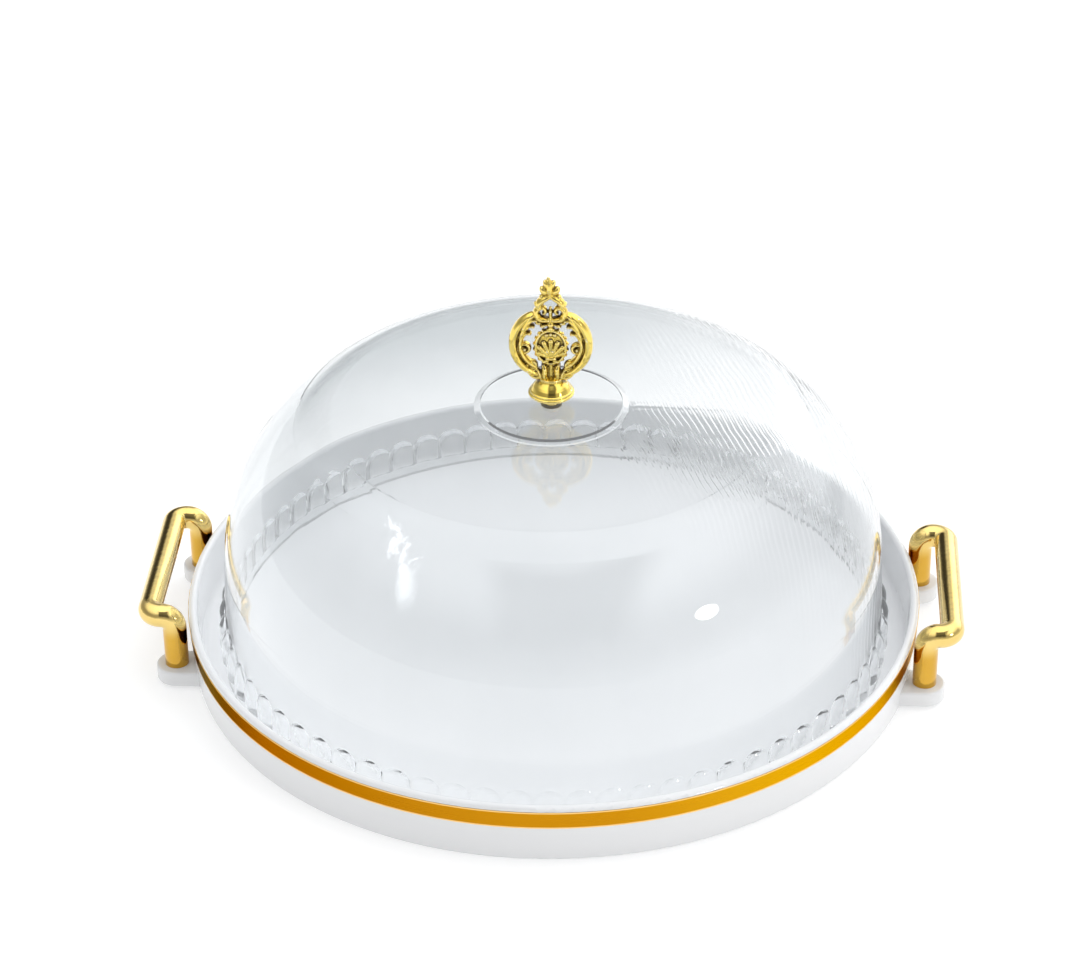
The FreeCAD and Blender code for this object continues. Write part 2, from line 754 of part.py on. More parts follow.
def make_knob_frame():
    """The oval frame, its plate and the scallop fan of round ribs on both faces of the plate."""
    outer = oval("frame_outer_edge", "frame_width / 2")
    inner = oval("frame_inner_edge", "-frame_width / 2")
    block = oval_plate("frame_block", [outer, inner], "frame_depth")
    frame = document.addObject("Part::Fillet", "frame")
    frame.Base = block
    document.recompute()
    frame.Edges = [
        (number, worth("frame_round"), worth("frame_round"))
        for number, edge in enumerate(block.Shape.Edges, start=1)
        if edge.BoundBox.YLength < 0.01
    ]
    plate = oval_plate("frame_plate", [oval("frame_middle", "0")], "frame_plate_depth")
    pieces = [frame, plate, put(sphere("fan_hub", "fan_hub_radius"), z="fan_hub_height")]
    middle = (SIZES["fan_rib_count"] - 1) / 2
    for number in range(SIZES["fan_rib_count"]):
        lean = (number - middle) * SIZES["fan_rib_spread"]
        length = f"(fan_rib_side_length + (fan_rib_length - fan_rib_side_length) * cos({abs(lean)}))"
        rib = bind(document.addObject("Part::Cone", f"fan_rib_{number + 1}"),
                   Radius1="fan_rib_root_radius", Radius2="fan_rib_end_radius", Height=length)
        turn_about(rib, ((0, 1, 0), lean))
        put(rib, z="fan_hub_height")
        tip = sphere(f"fan_tip_{number + 1}", "fan_tip_radius")
        put(tip, f"{length} * sin({lean})", "0", f"fan_hub_height + {length} * cos({lean})")
        pieces += [rib, tip]
    return pieces


def make_knob_top():
    """The bead, the crest ring and the pointed bud with its petals."""
    bead = put(sphere("bead", "bead_radius"), z="bead_height")
    crest = put(upright_ring("crest", "crest_radius", "crest_round"), z="crest_height")
    bud = new_body("bud")
    turned(bud, "bud_core", "Revolution", [[
        ("0", "bud_base_height"),
        ("bud_base_radius", "bud_base_height"),
        ("bud_radius", "bud_belly_height"),
        ("0", "knob_height"),
    ]])
    pieces = [bead, crest, bud]
    for number in range(SIZES["petal_count"]):
        bearing = number * 360 / SIZES["petal_count"]
        petal = bind(document.addObject("Part::Ellipsoid", f"petal_{number + 1}"),
                     Radius1="petal_half_length", Radius2="petal_radius", Radius3="petal_radius")
        turn_about(petal, ((0, 1, 0), SIZES["petal_lean"]), ((0, 0, 1), bearing))
        pieces.append(put(petal, f"petal_distance * cos({bearing})", f"petal_distance * sin({bearing})",
                          "petal_height"))
    return pieces


def make_knob():
    scrolls = [make_knob_foot()]
    for side in (1, -1):
        scrolls.append(make_knob_leaf(side))
        scrolls += make_knob_curls(side)
    casting = fused("knob_casting", [
        fused("knob_scrolls", scrolls),
        fused("knob_frame", make_knob_frame()),
        fused("knob_top", make_knob_top()),
    ])
    bore = cylinder("knob_bore", "knob_bore_radius", "knob_bore_depth")
    return put(cut("finial_knob", casting, bore), z="crown_top")


# All pieces

def make_all():
    """Every piece of the product by its node name."""
    fill_sheet()
    pieces = [make_tray(), make_gold_band()]
    for side, along in (("right", 1), ("left", -1)):
        pieces.append(make_handle(side + "_handle", along))
        for end, across in (("front", -1), ("rear", 1)):
            place = (f"{along} * lug_distance", f"{across} * lug_half_spread", "screw_seat")
            pieces.append(make_screw(f"{side}_{end}_screw", "lug_screw", *place))
    pieces.append(make_dome())
    pieces.append(make_knob())
    pieces.append(make_washer())
    pieces.append(make_screw("knob_screw", "knob_screw", "0", "0", "washer_bottom"))
    document.recompute()
    return pieces


def check(pieces):
    """Stops if any object of the document failed or any piece is not one good solid."""
    for item in document.Objects:
        if "Invalid" in item.State or "Error" in item.State:
            raise ValueError(f"{item.Name} failed: {item.State}")
    for piece in pieces:
        shape = piece.Shape
        if shape.isNull() or not shape.isValid() or len(shape.Solids) != 1:
            raise ValueError(f"{piece.Label} is not one valid solid")


def write(pieces):
    os.makedirs("parts", exist_ok=True)
    for piece in pieces:
        piece.Shape.exportStep(f"parts/{piece.Label}.step")


all_pieces = make_all()
check(all_pieces)
write(all_pieces)
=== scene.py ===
import math

import bmesh
import bpy
from mathutils import Matrix, Vector


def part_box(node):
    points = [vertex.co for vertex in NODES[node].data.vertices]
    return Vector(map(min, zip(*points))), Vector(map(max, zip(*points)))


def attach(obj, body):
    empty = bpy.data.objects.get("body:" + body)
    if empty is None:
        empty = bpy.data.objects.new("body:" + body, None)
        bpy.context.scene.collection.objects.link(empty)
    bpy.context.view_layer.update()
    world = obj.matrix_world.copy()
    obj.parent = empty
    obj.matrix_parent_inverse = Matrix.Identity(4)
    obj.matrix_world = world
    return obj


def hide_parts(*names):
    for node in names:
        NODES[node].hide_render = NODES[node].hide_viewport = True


# Looks of the covered serving tray: white gloss tray, gold band, gold bail handles, clear fluted dome
# and cast openwork knob. Metres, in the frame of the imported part, save for the knob's carving.

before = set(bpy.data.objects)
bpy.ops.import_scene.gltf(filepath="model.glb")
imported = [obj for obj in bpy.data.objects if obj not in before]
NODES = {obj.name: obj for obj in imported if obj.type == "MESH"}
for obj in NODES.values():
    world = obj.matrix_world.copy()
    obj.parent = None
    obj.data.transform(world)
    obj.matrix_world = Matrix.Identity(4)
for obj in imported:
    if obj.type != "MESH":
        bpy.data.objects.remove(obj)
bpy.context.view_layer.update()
MM = 0.001


# Shader maths

class Value:
    """A number that varies over a surface; ordinary arithmetic on it adds the nodes it needs."""

    def __init__(self, surface, socket):
        self.surface = surface
        self.socket = socket

    def maths(self, operation, *numbers):
        node = self.surface.node("Math", {"operation": operation}, dict(enumerate(numbers)))
        return Value(self.surface, node.outputs[0])

    def __add__(self, other):
        return self.maths("ADD", self, other)

    def __radd__(self, other):
        return self.maths("ADD", other, self)

    def __sub__(self, other):
        return self.maths("SUBTRACT", self, other)

    def __rsub__(self, other):
        return self.maths("SUBTRACT", other, self)

    def __mul__(self, other):
        return self.maths("MULTIPLY", self, other)

    def __rmul__(self, other):
        return self.maths("MULTIPLY", other, self)

    def __pow__(self, other):
        return self.maths("POWER", self, other)

    def sine(self):
        return self.maths("SINE", self)

    def larger(self, other):
        return self.maths("MAXIMUM", self, other)

    def angle_with(self, other):
        return self.maths("ARCTAN2", self, other)

    def step(self, low, high):
        """Rises smoothly from 0 at low to 1 at high."""
        node = self.surface.node("MapRange", {"interpolation_type": "SMOOTHSTEP"},
                                 {"Value": self, "From Min": low, "From Max": high})
        return Value(self.surface, node.outputs[0])

    def window(self, low, high, soft):
        """1 between low and high, 0 outside, with edges of a given softness."""
        return self.step(low - soft, low + soft) * (1 - self.step(high - soft, high + soft))


class Surface:
    """A material, or the studio around the object, under construction node by node."""

    def __init__(self, name, studio=False):
        self.owner = (bpy.data.worlds if studio else bpy.data.materials).new(name)
        self.owner.use_nodes = True
        self.tree = self.owner.node_tree
        self.tree.nodes.clear()
        self.place = self.node("TexCoord").outputs["Generated" if studio else "Object"]
        apart = self.node("SeparateXYZ", {}, {0: self.place})
        self.x, self.y, self.z = (Value(self, socket) for socket in apart.outputs)

    def node(self, kind, settings=None, sockets=None):
        """A node of this kind with its settings made and its sockets given values or links."""
        node = self.tree.nodes.new("ShaderNode" + kind)
        for name, setting in (settings or {}).items():
            setattr(node, name, setting)
        for name, given in (sockets or {}).items():
            socket = node.inputs[name]
            if isinstance(given, Value):
                given = given.socket
            if isinstance(given, bpy.types.NodeSocket):
                self.tree.links.new(given, socket)
            elif isinstance(given, tuple) and len(given) == 3 and socket.type == "RGBA":
                socket.default_value = (*given, 1)
            else:
                socket.default_value = given
        return node

    def noise(self, scale, detail=3.0, roughness=0.5, place=None):
        """Blotches, about as many to a metre as the scale says."""
        node = self.node("TexNoise", {}, {"Vector": place or self.place, "Scale": scale,
                                          "Detail": detail, "Roughness": roughness})
        return Value(self, node.outputs[0])

    def stretched(self, *sizes):
        """The place on the piece, multiplied by a factor along each axis."""
        return self.node("Mapping", {}, {"Vector": self.place, "Scale": sizes}).outputs[0]

    def colour_mix(self, factor, first, second):
        """The colour that lies between two colours by a factor."""
        node = self.node("Mix", {"data_type": "RGBA"}, {0: factor})
        for index, colour in ((6, first), (7, second)):
            if isinstance(colour, bpy.types.NodeSocket):
                self.tree.links.new(colour, node.inputs[index])
            else:
                node.inputs[index].default_value = (*colour, 1)
        return node.outputs[2]

    def bump(self, height, strength, distance):
        return self.node("Bump", {}, {"Height": height, "Strength": strength,
                                      "Distance": distance}).outputs[0]

    def finish(self, shader, output="OutputMaterial"):
        self.tree.links.new(shader, self.node(output).inputs[0])
        return self.owner


def principled(surface, **sockets):
    """The main shader; underscores in a socket's name stand for spaces."""
    named = {name.replace("_", " "): value for name, value in sockets.items()}
    return surface.node("BsdfPrincipled", {}, named).outputs[0]


# Finishes

def white_gloss():
    """The tray's white moulding, almost a mirror, with the faintest waviness."""
    surface = Surface("white_gloss")
    drift = surface.noise(9.0)
    colour = surface.colour_mix(drift, (0.80, 0.805, 0.81), (0.865, 0.865, 0.87))
    rough = 0.008 + surface.noise(40.0) * 0.012
    fine = surface.noise(700.0, 2.0)
    return surface.finish(principled(
        surface, Base_Color=colour, Roughness=rough, IOR=1.5,
        Normal=surface.bump(fine, 0.01, 0.4 * MM)))


# The handles' posts end at the first height above the table, and their bars begin at the second.
POST_TOP = 22 * MM
BAR_BOTTOM = 31 * MM


def gold_plate():
    """Thin gold over lacquer, with light painted into it: darker amber down the posts as a painted
    reflection of the band, and paler yellow on the bars as a painted highlight.
    """
    surface = Surface("gold_plate")
    drift = surface.noise(60.0)
    # Painted light: the bars' paler colour is a painted highlight, and the posts' darker amber is a painted
    # reflection of the band.
    bar_painted_highlight = surface.colour_mix(drift, (0.79, 0.55, 0.14), (0.91, 0.70, 0.27))
    post_painted_reflection = surface.colour_mix(drift, (0.60, 0.32, 0.02), (0.74, 0.44, 0.05))
    colour = surface.colour_mix(surface.z.step(POST_TOP, BAR_BOTTOM), post_painted_reflection, bar_painted_highlight)
    rough = 0.06 + surface.noise(260.0) * 0.08
    dimple = surface.noise(420.0)
    return surface.finish(principled(
        surface, Base_Color=colour, Roughness=rough, Metallic=1.0, Coat_Weight=0.6, Coat_Roughness=0.04,
        Normal=surface.bump(dimple, 0.22, 0.4 * MM)))


# How far the painted shade in the knob's hollows looks for nearby casting.
HOLLOW_SHADE_REACH = 3 * MM


def cast_gold():
    """The plate on the knob: painted shade turns the hollows and creases of the casting near black, and its
    ridges are painted paler, partly as wear and partly as a painted highlight.
    """
    surface = Surface("cast_gold")
    relief = Value(surface, surface.node("NewGeometry").outputs["Pointiness"])
    # Painted shade: ambient occlusion and pointiness darken the hollows and creases to near black.
    open_sky = surface.node("AmbientOcclusion", {"samples": 8, "only_local": True},
                            {"Distance": HOLLOW_SHADE_REACH})
    hollow_shade = 1 - Value(surface, open_sky.outputs["AO"]).step(0.48, 0.90)
    crease_shade = 1 - relief.step(0.40, 0.49)
    # The ridges are painted paler, partly as wear and partly as a painted highlight.
    ridge_wear_and_highlight = relief.step(0.505, 0.57)
    drift = surface.noise(160.0)
    plate = surface.colour_mix(drift, (0.85, 0.58, 0.07), (0.95, 0.74, 0.18))
    worn_and_highlit = surface.colour_mix(ridge_wear_and_highlight * 0.9, plate, (1.0, 0.93, 0.66))
    colour = surface.colour_mix(hollow_shade.larger(crease_shade) * 0.95, worn_and_highlit, (0.07, 0.035, 0.006))
    rough = 0.08 + hollow_shade * 0.22 + surface.noise(500.0) * 0.06
    return surface.finish(principled(
        surface, Base_Color=colour, Roughness=rough, Metallic=1.0, Coat_Weight=0.4, Coat_Roughness=0.05))


# The band's painted shading along X: its colour at its near black left end, and then the two places along X
# between which each further colour takes over from the one before it. The darkening to the left and at the
# right end is painted shade, and the yellower stretch right of centre is painted light.
BAND_LEFT_END_SHADE = (0.012, 0.005, 0.002)
BAND_PAINTED_SHADING = (
    (-147 * MM, -108 * MM, (0.40, 0.125, 0.003)),
    (-125 * MM, 0 * MM, (0.56, 0.235, 0.003)),
    (20 * MM, 120 * MM, (0.74, 0.39, 0.008)),
    (138 * MM, 158 * MM, (0.22, 0.08, 0.02)),
)
# The strip's edges carry a painted highlight as far as the first width, fading out by the second.
EDGE_HIGHLIGHT_WIDTH = 0.4 * MM
EDGE_HIGHLIGHT_END = 0.8 * MM


def band_gold():
    """The band's strip: amber with painted shade, darker to the left and at its right end, and painted
    highlights along its edges.
    """
    surface = Surface("band_gold")
    streak = surface.noise(30.0, 4.0, 0.6, surface.stretched(1.0, 1.0, 60.0))
    # Painted shade: the band darkens to the left and at its right end, and is painted lighter right of
    # centre.
    amber_painted_shading = BAND_LEFT_END_SHADE
    for start, end, colour in BAND_PAINTED_SHADING:
        amber_painted_shading = surface.colour_mix(surface.x.step(start, end), amber_painted_shading, colour)
    shown = surface.x.step(-140 * MM, -40 * MM)
    strip = surface.colour_mix(streak * shown * 0.3, amber_painted_shading, (0.62, 0.30, 0.02))
    low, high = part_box("gold_band")
    # Painted highlight along the strip's lower and upper edges.
    lower_edge_highlight = 1 - (surface.z - low.z).step(EDGE_HIGHLIGHT_WIDTH, EDGE_HIGHLIGHT_END)
    upper_edge_highlight = (surface.z - high.z).step(-EDGE_HIGHLIGHT_END, -EDGE_HIGHLIGHT_WIDTH)
    colour = surface.colour_mix(lower_edge_highlight.larger(upper_edge_highlight) * 0.9, strip, (1.0, 0.68, 0.26))
    return surface.finish(principled(
        surface, Base_Color=colour, Roughness=0.22 + streak * 0.14, Metallic=1.0,
        Specular_Tint=(0.80, 0.55, 0.20)))


def steel():
    """Zinc plate on the screws and the washer."""
    surface = Surface("screw_steel")
    drift = surface.noise(300.0)
    colour = surface.colour_mix(drift, (0.55, 0.55, 0.54), (0.70, 0.70, 0.68))
    return surface.finish(principled(
        surface, Base_Color=colour, Roughness=0.25 + drift * 0.2, Metallic=1.0))


FLOW_LINE_SPACING = 2.8 * MM
FLOW_LINES = 2 * math.pi / FLOW_LINE_SPACING


def clear_plastic():
    """Clear with a grey cast of painted shade that deepens upwards, to the left and to the rear, clouds,
    fine flow lines of the moulding at the right drawn whiter as a painted highlight, and a faint painted
    glow of its own. Rays that only carry shadow or soft light pass straight through it."""
    surface = Surface("clear_plastic")
    x, y, z = surface.x, surface.y, surface.z
    cloud = surface.noise(22.0, 4.0, 0.6, surface.stretched(1.0, 1.0, 0.35))
    wander = surface.noise(26.0, 2.0)
    line = ((x * FLOW_LINES + y * FLOW_LINES * 0.35 + wander * 14).sine() * 0.5 + 0.5) ** 3.0
    right = x.step(20 * MM, 80 * MM) * (1 - x.step(100 * MM, 125 * MM) * 0.85)
    behind_front = y.step(-100 * MM, -40 * MM)
    flow_lines_and_highlight = line * (right * behind_front * surface.noise(30.0).step(0.28, 0.52))
    # Painted shade: the grey cast deepens upwards, to the left and to the rear; the clouds add tone that
    # differs at random.
    rear_shade = 0.45 + y.step(-20 * MM, 90 * MM) * 0.55
    left = 1 - x.step(-30 * MM, 100 * MM) * 0.75
    shade_and_cloud = z.step(20 * MM, 100 * MM) * left * rear_shade * 0.70 + cloud * 0.30
    cast_and_painted_shade = surface.colour_mix(shade_and_cloud, (0.95, 0.955, 0.957), (0.69, 0.715, 0.725))
    # Painted highlight: the flow lines of the moulding are drawn whiter than the cast around them.
    colour = surface.colour_mix(flow_lines_and_highlight * 0.85, cast_and_painted_shade, (1.0, 1.0, 1.0))
    # The faint emission is a painted glow: the plastic gives off light though it is no lamp.
    clear = principled(
        surface, Base_Color=colour, Roughness=0.01 + cloud * 0.01, IOR=1.49, Transmission_Weight=1.0,
        Emission_Color=(0.94, 0.97, 1.0), Emission_Strength=0.025,
        Normal=surface.bump(flow_lines_and_highlight, 0.2, 0.2 * MM))
    passing = surface.node("BsdfTransparent", {}, {"Color": (0.97, 0.975, 0.98)}).outputs[0]
    path = surface.node("LightPath")
    through = Value(surface, path.outputs["Is Shadow Ray"]).larger(
        Value(surface, path.outputs["Is Diffuse Ray"]))
    mixed = surface.node("MixShader", {}, {0: through, 1: clear, 2: passing}).outputs[0]
    return surface.finish(mixed)


def floor_paper():
    """White paper that gives off some light of its own, as a lit table does."""
    surface = Surface("floor_paper")
    drift = surface.noise(3.0)
    colour = surface.colour_mix(drift, (0.72, 0.72, 0.72), (0.76, 0.76, 0.76))
    return surface.finish(principled(
        surface, Base_Color=colour, Roughness=0.9, Emission_Color=colour, Emission_Strength=0.50))


def dress(node, material):
    mesh = NODES[node].data
    mesh.materials.clear()
    mesh.materials.append(material)


gold = gold_plate()
zinc = steel()
dress("tray", white_gloss())
dress("gold_band", band_gold())
dress("dome_cover", clear_plastic())
dress("finial_knob", cast_gold())
for name in ("right_handle", "left_handle"):
    dress(name, gold)
for name in ("right_front_screw", "right_rear_screw", "left_front_screw", "left_rear_screw",
             "knob_screw", "knob_washer"):
    dress(name, zinc)


# Knob carving

KNOB_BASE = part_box("finial_knob")[0].z
KNOB_GRAIN = 0.256 * MM

# From here to the floor, plain numbers are millimetres and degrees: across is to the right of the
# knob's axis, up is from its seat on the crown, and a half width is that of the bar at that point.
SCROLL_CENTRE = 28.8
OVAL_CENTRE = 27.4
OVAL_HALF_WIDTH = 6.5
OVAL_HALF_HEIGHT = 8.1
SHELL_HUB = 21.9


def nothing_selected():
    if bpy.context.object and bpy.context.object.mode != "OBJECT":
        bpy.ops.object.mode_set(mode="OBJECT")
    bpy.ops.object.select_all(action="DESELECT")


def joined(pieces, name):
    """All pieces as one mesh object with its place in its mesh."""
    nothing_selected()
    for piece in pieces:
        piece.select_set(True)
    bpy.context.view_layer.objects.active = pieces[0]
    bpy.ops.object.join()
    whole = bpy.context.object
    whole.name = name
    bpy.ops.object.transform_apply(location=True, rotation=True, scale=True)
    return whole


def mirrored(side, points):
    """Points of the right half, or with side -1 their mirror image on the left."""
    return [(side * across, up, half_width) for across, up, half_width in points]


def strand(points, depth=1.0, y=0.0):
    """A bar through points (across, up, half width) of the knob's front plane, deepened along Y."""
    nothing_selected()
    bpy.ops.curve.primitive_bezier_curve_add(location=(0, 0, 0))
    item = bpy.context.object
    curve = item.data
    curve.dimensions = "3D"
    spline = curve.splines[0]
    spline.bezier_points.add(len(points) - len(spline.bezier_points))
    for knot, (across, up, half_width) in zip(spline.bezier_points, points):
        knot.co = (across * MM, 0, up * MM)
        knot.handle_left_type = knot.handle_right_type = "AUTO"
        knot.radius = half_width * MM
    curve.bevel_depth = 1.0
    curve.bevel_resolution = 4
    curve.resolution_u = 8
    curve.use_fill_caps = True
    bpy.ops.object.convert(target="MESH")
    item = bpy.context.object
    item.scale = (1, depth, 1)
    item.location = (0, y * MM, KNOB_BASE)
    return item


def pebble(across, up, sizes, lean=0.0, y=0.0):
    """An egg with these half sizes, leaned to the right by an angle."""
    nothing_selected()
    bpy.ops.mesh.primitive_uv_sphere_add(segments=24, ring_count=16, radius=1.0)
    item = bpy.context.object
    item.scale = tuple(size * MM for size in sizes)
    item.rotation_euler = (0, math.radians(lean), 0)
    item.location = (across * MM, y * MM, up * MM + KNOB_BASE)
    return item


CURL_STEPS = 12
CURL_WOUND_IN = 0.72


def curl(across, up, radius, start, turn, thick, thin):
    """Points of a scroll that winds in to its eye, from an angle through a turn."""
    points = []
    for step in range(CURL_STEPS + 1):
        share = step / CURL_STEPS
        angle = math.radians(start + turn * share)
        reach = radius * (1 - CURL_WOUND_IN * share)
        points.append((across + reach * math.cos(angle), up + reach * math.sin(angle),
                       thick + (thin - thick) * share))
    return points


# Radius and height of the turned foot, up its side from the seat to the top of its core.
FOOT_PROFILE = (
    (0, 0), (3.3, 0), (3.5, 0.5), (3.2, 1.0), (3.1, 2.6), (3.6, 3.1), (6.6, 3.5), (8.9, 4.1),
    (9.7, 4.7), (9.9, 5.2), (9.7, 5.7), (9.1, 5.95), (9.2, 6.3), (9.1, 6.75), (8.6, 7.0),
    (8.3, 7.6), (7.7, 8.6), (6.9, 9.5), (6.0, 10.3), (5.2, 11.0), (4.7, 11.6), (4.9, 12.1),
    (4.7, 12.6), (3.6, 13.0), (1.6, 13.6), (1.2, 16.0), (1.2, 19.5), (0, 20.0),
)
FOOT_SEGMENTS = 64


def turned_foot():
    """The turned foot of the casting, with its rings, spun from a profile."""
    nothing_selected()
    bpy.ops.mesh.primitive_plane_add(size=MM)
    item = bpy.context.object
    mesh = bmesh.new()
    corners = [mesh.verts.new((radius * MM, 0, up * MM + KNOB_BASE)) for radius, up in FOOT_PROFILE]
    for lower, upper in zip(corners, corners[1:]):
        mesh.edges.new((lower, upper))
    mesh.to_mesh(item.data)
    mesh.free()
    bpy.ops.object.mode_set(mode="EDIT")
    bpy.ops.mesh.select_all(action="SELECT")
    bpy.ops.mesh.spin(steps=FOOT_SEGMENTS, angle=2 * math.pi, center=(0, 0, 0), axis=(0, 0, 1))
    bpy.ops.mesh.select_all(action="SELECT")
    bpy.ops.mesh.remove_doubles(threshold=0.001 * MM)
    bpy.ops.mesh.normals_make_consistent(inside=False)
    bpy.ops.object.mode_set(mode="OBJECT")
    return item


def arc_point(angle, radius, half_width):
    """A point of the right big scroll's circle, whose centre is on the axis."""
    turn = math.radians(angle)
    return radius * math.cos(turn), SCROLL_CENTRE + radius * math.sin(turn), half_width


# Angle and half width along the big scroll's outer rib.
RIB_RADIUS = 15.8
RIB_POINTS = ((-72, 1.0), (-58, 1.6), (-40, 2.0), (-20, 2.1), (0, 2.0), (20, 2.0), (38, 1.9), (54, 1.6),
              (66, 1.0))
# Angle, radius and half width along the fold inside the rib.
FOLD_POINTS = ((-64, 13.2, 0.7), (-47, 12.7, 1.2), (-24, 12.9, 1.25), (-4, 13.0, 1.2), (14, 12.6, 1.1))
# Each finger: the angle and radius where it bends, then across and up of its tip, and its half width.
FINGERS = ((52, 14.2, 5.0, 43.4, 1.35), (40, 13.3, 6.3, 40.6, 1.4), (27, 12.9, 7.6, 37.6, 1.35),
           (12, 12.4, 9.0, 34.2, 1.1))
# Each curl: where it leaves the scroll, its points, and the half sizes of the button in its eye.
CURLS = (
    (arc_point(-18, 14.2, 1.0), curl(11.0, 26.2, 2.8, 0, 430, 1.0, 0.75), (11.0, 26.2), (1.0, 2.3, 1.0)),
    (arc_point(-62, 14.4, 0.9), curl(7.7, 18.2, 2.4, -40, 410, 0.95, 0.7), (7.7, 18.2), (0.9, 2.1, 0.9)),
)
# Angle and half length of the lobes that swell out of the rib.
LOBE_RADIUS = 16.2
LOBES = ((-36, 2.8), (-14, 2.5), (6, 2.5), (26, 2.3))
LOBE_LEAN = 12


def leaf_scroll(side):
    """One big leaf scroll: an outer rib with lobes, a fold inside it, fingers at the top and its curls."""
    rib = [arc_point(angle, RIB_RADIUS, half_width) for angle, half_width in RIB_POINTS]
    fold = [arc_point(*point) for point in FOLD_POINTS]
    pieces = [strand(mirrored(side, rib), 1.6), strand(mirrored(side, fold), 2.1)]
    for angle, radius, reach, lift, half_width in FINGERS:
        start = arc_point(angle - 30, radius + 0.8, 0.6)
        middle = arc_point(angle - 6, radius + 0.2, half_width)
        before = ((middle[0] + reach) / 2 + 0.5, (middle[1] + lift) / 2 + 0.9, half_width)
        tip = (reach, lift, 0.75)
        pieces.append(strand(mirrored(side, (start, middle, before, tip)), 2.0))
        pieces.append(pebble(side * reach, lift - 0.5, (1.15, 2.1, 1.0), -side * 30))
    for root, points, (across, up), button in CURLS:
        pieces.append(strand(mirrored(side, [root, *points]), 1.9))
        pieces.append(pebble(side * across, up, button))
    for angle, half_length in LOBES:
        across, up, _ = arc_point(angle, LOBE_RADIUS, 0)
        pieces.append(pebble(side * across, up, (0.9, 2.9, half_length), side * (LOBE_LEAN - angle)))
    return pieces


# Each leaf of the calyx: how deep it is for its width, and its points.
CALYX_LEAVES = (
    (1.8, ((2.1, 11.6, 1.1), (2.5, 13.2, 1.6), (2.6, 15.2, 1.7), (2.7, 17.2, 1.5), (3.4, 18.8, 0.9))),
    (2.2, ((3.0, 11.4, 0.8), (4.4, 13.2, 1.1), (5.0, 15.0, 1.0), (6.0, 16.4, 0.8), (7.6, 16.6, 0.5))),
    (1.8, ((3.4, 12.0, 0.8), (4.6, 12.6, 1.2), (6.0, 12.9, 1.4), (7.6, 13.4, 1.3), (9.2, 14.6, 0.9))),
)


def calyx():
    """Leaves that rise from the waist on both sides of a slit, and carry the scrolls."""
    return [strand(mirrored(side, points), depth) for side in (1, -1) for depth, points in CALYX_LEAVES]


def oval_point(angle, grow, half_width):
    turn = math.radians(angle)
    across = (OVAL_HALF_WIDTH + grow) * math.cos(turn)
    return across, OVAL_CENTRE + (OVAL_HALF_HEIGHT + grow) * math.sin(turn), half_width


SCALLOPS = 20
SHELL_RIBS = 7
SHELL_RIB_SPREAD = 21.0
# Share of a shell rib's length, and the half width there.
SHELL_RIB_POINTS = ((0.05, 0.4), (0.35, 0.62), (0.65, 0.95), (0.88, 1.2), (1.0, 0.8))


def shell_rib(number, face):
    """One rib of the shell, on the rear face for 1 or the front for -1; the middle rib is the longest."""
    turn = math.radians((number - SHELL_RIBS // 2) * SHELL_RIB_SPREAD)
    length = 5.2 + 4.2 * math.cos(turn)
    points = [(share * length * math.sin(turn), SHELL_HUB + share * length * math.cos(turn), half_width)
              for share, half_width in SHELL_RIB_POINTS]
    return strand(points, 0.85, face * 1.05)


def shell_frame():
    """The oval frame with its scalloped edge, and the ribbed shell on both faces of its plate."""
    ring = [oval_point(angle, -0.2, 0.85) for angle in range(-90, 271, 15)]
    pieces = [strand(ring, 2.0), pebble(0, OVAL_CENTRE, (5.9, 0.9, 7.7))]
    for number in range(SCALLOPS):
        across, up, _ = oval_point((number + 0.5) * 360 / SCALLOPS, 0.45, 0)
        pieces.append(pebble(across, up, (0.78, 1.5, 0.78)))
    for face in (1, -1):
        pieces += [shell_rib(number, face) for number in range(SHELL_RIBS)]
        pieces.append(pebble(0, 22.0, (2.4, 0.9, 0.9), 0, face * 1.4))
        for side in (1, -1):
            pieces.append(pebble(side * 2.2, 20.6, (1.9, 0.8, 0.7), side * 20, face * 1.1))
            pieces.append(pebble(side * 1.7, 33.1, (1.0, 0.7, 0.8), side * 30, face * 0.9))
        pieces.append(pebble(0, 33.5, (0.75, 0.8, 0.9), 0, face * 0.9))
    return pieces


CREST_STEM = ((0, 39.5, 1.0), (0, 41.2, 0.9), (0, 42.8, 0.9), (0, 44.6, 1.0), (0, 46.2, 0.6))
CREST_VOLUTE = ((0.5, 40.3, 1.1), (2.5, 40.5, 1.4), (4.7, 41.3, 1.55), (5.9, 43.2, 1.5), (5.4, 45.3, 1.35),
                (3.7, 46.2, 1.15), (2.3, 45.2, 1.0), (2.3, 43.7, 0.9), (3.3, 43.2, 0.8))
CREST_ARM = ((4.9, 46.0, 1.3), (4.8, 47.9, 1.6), (3.7, 49.4, 1.6), (2.1, 50.6, 1.5), (0.4, 51.4, 1.2))
# Leaf buds on each side of the crest: across, up, half sizes and lean to the side.
CREST_LEAVES = (
    (2.9, 37.6, (1.9, 1.8, 1.0), 24), (5.2, 38.9, (1.7, 1.8, 1.1), -10), (6.9, 42.0, (1.1, 1.9, 0.9), -40),
    (6.0, 47.6, (0.9, 1.6, 1.3), 30), (3.6, 51.2, (1.3, 1.7, 1.0), 40),
)
# Petals of the top bud: across, up, half sizes, lean, and how far the pair stands to the left.
PETALS = ((2.5, 53.9, (1.6, 1.9, 2.5), 34, 0.2), (1.5, 57.0, (1.15, 1.7, 2.2), 16, 0.4))


